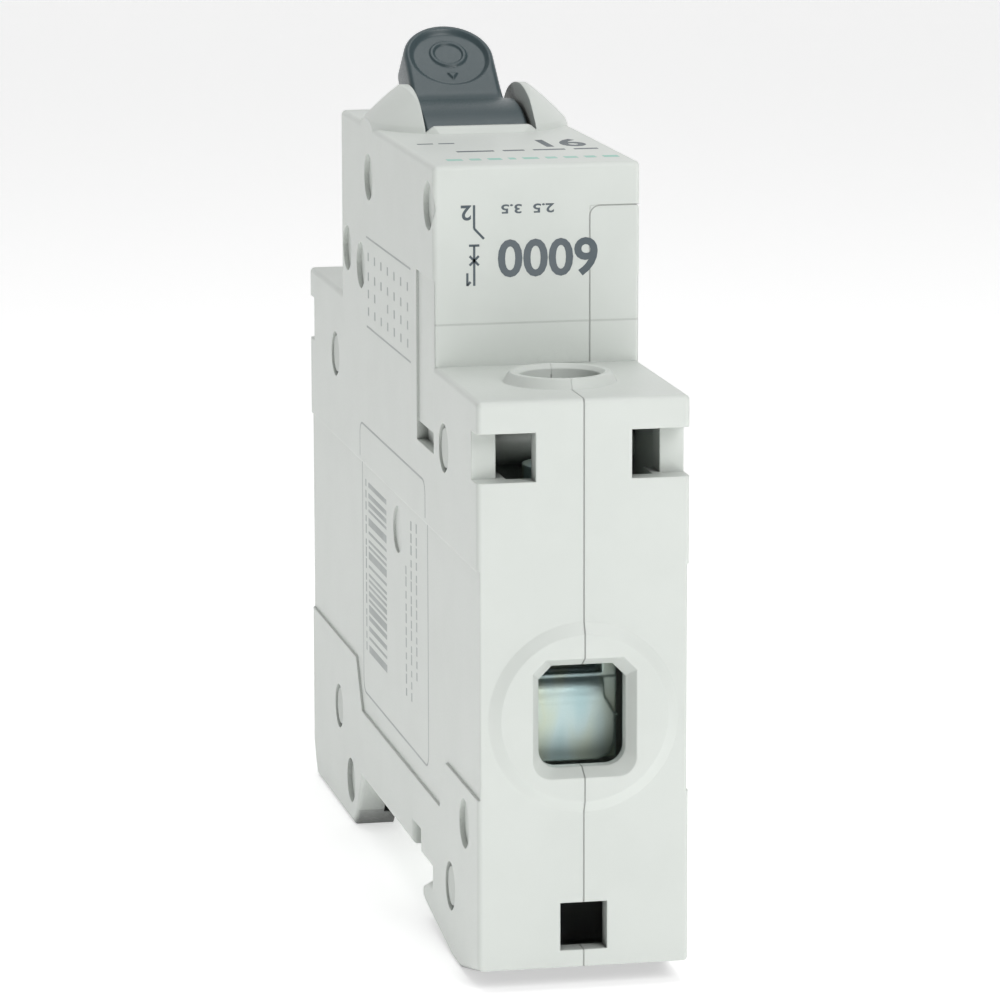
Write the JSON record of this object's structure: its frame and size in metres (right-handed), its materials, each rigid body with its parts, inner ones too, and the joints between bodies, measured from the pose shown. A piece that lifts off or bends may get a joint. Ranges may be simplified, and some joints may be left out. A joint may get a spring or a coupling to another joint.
{
  "type": "miniature circuit breaker",
  "caption": "Slim single-pole rail-mounted circuit breaker: pale moulded case, dark rocking toggle between domed cheeks, screw clamp terminals at both ends, sliding rail clip.",
  "frame": {"origin": "middle of the rail seat, where the back of the case meets the face of a 35 mm rail", "axes": "+X across the 18 mm width, +Y towards the load end, +Z away from the rail towards the toggle"},
  "size_m": [0.018, 0.0825, 0.075],
  "materials": {
    "case_plastic": "moulded light grey thermoset, fine satin",
    "toggle_plastic": "moulded dark slate thermoplastic, satin",
    "clip_plastic": "moulded pale thermoplastic",
    "carrier_plastic": "moulded dark thermoset",
    "former_plastic": "moulded natural nylon",
    "zinc_steel": "zinc plated, passivated",
    "plain_steel": "bright steel",
    "spring_steel": "drawn spring wire",
    "copper": "bare copper",
    "silver": "silver contact alloy",
    "bimetal": "rolled bimetal",
    "fibre": "vulcanised fibre sheet"
  },
  "bodies": {
    "case": {"left_housing": "case_plastic", "right_housing": "case_plastic", "housing_rivets": "zinc_steel", "toggle_axle": "plain_steel", "toggle_spring": "spring_steel", "carrier_axle": "plain_steel", "contact_spring": "spring_steel", "fixed_contact_strip": "copper", "fixed_contact_tip": "silver", "upper_arc_runner": "plain_steel", "arc_plates": "plain_steel", "arc_chute_sides": "fibre", "coil_former": "former_plastic", "coil_winding": "copper", "magnet_yoke": "zinc_steel", "fixed_core": "plain_steel", "plunger_spring": "spring_steel", "trip_axle": "plain_steel", "bimetal_bracket": "zinc_steel", "bimetal_strip": "bimetal", "calibration_screw": "zinc_steel", "contact_braid": "copper", "line_terminal_bar": "copper", "load_terminal_bar": "copper"},
    "toggle": {"toggle_handle": "toggle_plastic"},
    "link": {"drive_link": "spring_steel"},
    "contact_lever": {"contact_carrier": "carrier_plastic", "moving_contact_arm": "copper", "moving_contact_tip": "silver"},
    "trip": {"trip_lever": "carrier_plastic"},
    "plunger": {"coil_plunger": "plain_steel", "striker_pin": "former_plastic"},
    "line_cage": {"line_clamp_cage": "zinc_steel"},
    "line_screw": {"line_clamp_screw": "zinc_steel"},
    "load_cage": {"load_clamp_cage": "zinc_steel"},
    "load_screw": {"load_clamp_screw": "zinc_steel"},
    "clip": {"rail_clip": "clip_plastic"}
  },
  "joints": [
    {"name": "toggle_turn", "type": "hinge", "parent": "case", "child": "toggle", "pos_m": [0, 0.0092, 0.0529], "axis": [1, 0, 0], "range_deg": [0, 48], "deforming": ["toggle_spring"]},
    {"name": "link_turn", "type": "hinge", "parent": "toggle", "child": "link", "pos_m": [0, 0.00527, 0.05465], "axis": [1, 0, 0], "range_deg": [-54, 0]},
    {"name": "contact_turn", "type": "hinge", "parent": "case", "child": "contact_lever", "pos_m": [0, 0.0135, 0.034], "axis": [1, 0, 0], "range_deg": [0, 21.1], "deforming": ["contact_spring", "contact_braid"]},
    {"name": "plunger_slide", "type": "slide", "parent": "case", "child": "plunger", "axis": [0, 1, 0], "range_m": [0, 0.0022], "stiffness_N_per_m": 150, "deforming": ["plunger_spring"]},
    {"name": "trip_turn", "type": "hinge", "parent": "case", "child": "trip", "pos_m": [0, -0.0026, 0.041], "axis": [1, 0, 0], "range_deg": [-8.1, 0]},
    {"name": "line_screw_turn", "type": "hinge", "parent": "case", "child": "line_screw", "pos_m": [0, -0.03165, 0.037], "axis": [0, 0, 1], "range_deg": [-722, 2882]},
    {"name": "line_cage_slide", "type": "slide", "parent": "case", "child": "line_cage", "axis": [0, 0, 1], "range_m": [-0.0064, 0.0016]},
    {"name": "load_screw_turn", "type": "hinge", "parent": "case", "child": "load_screw", "pos_m": [0, 0.03165, 0.037], "axis": [0, 0, 1], "range_deg": [-722, 2882]},
    {"name": "load_cage_slide", "type": "slide", "parent": "case", "child": "load_cage", "axis": [0, 0, 1], "range_m": [-0.0064, 0.0016]},
    {"name": "rail_clip_slide", "type": "slide", "parent": "case", "child": "clip", "axis": [0, 1, 0], "range_m": [0, 0.0035], "stiffness_N_per_m": 300}
  ],
  "couplings": [
    {"joint": "link_turn", "follows": "toggle_turn", "ratio": -1.111},
    {"joint": "contact_turn", "follows": "toggle_turn", "ratio": 0.4375},
    {"joint": "trip_turn", "follows": "plunger_slide", "rad_per_m": -63.467},
    {"joint": "line_screw_turn", "follows": "line_cage_slide", "rad_per_m": -7854},
    {"joint": "load_screw_turn", "follows": "load_cage_slide", "rad_per_m": -7854}
  ]
}
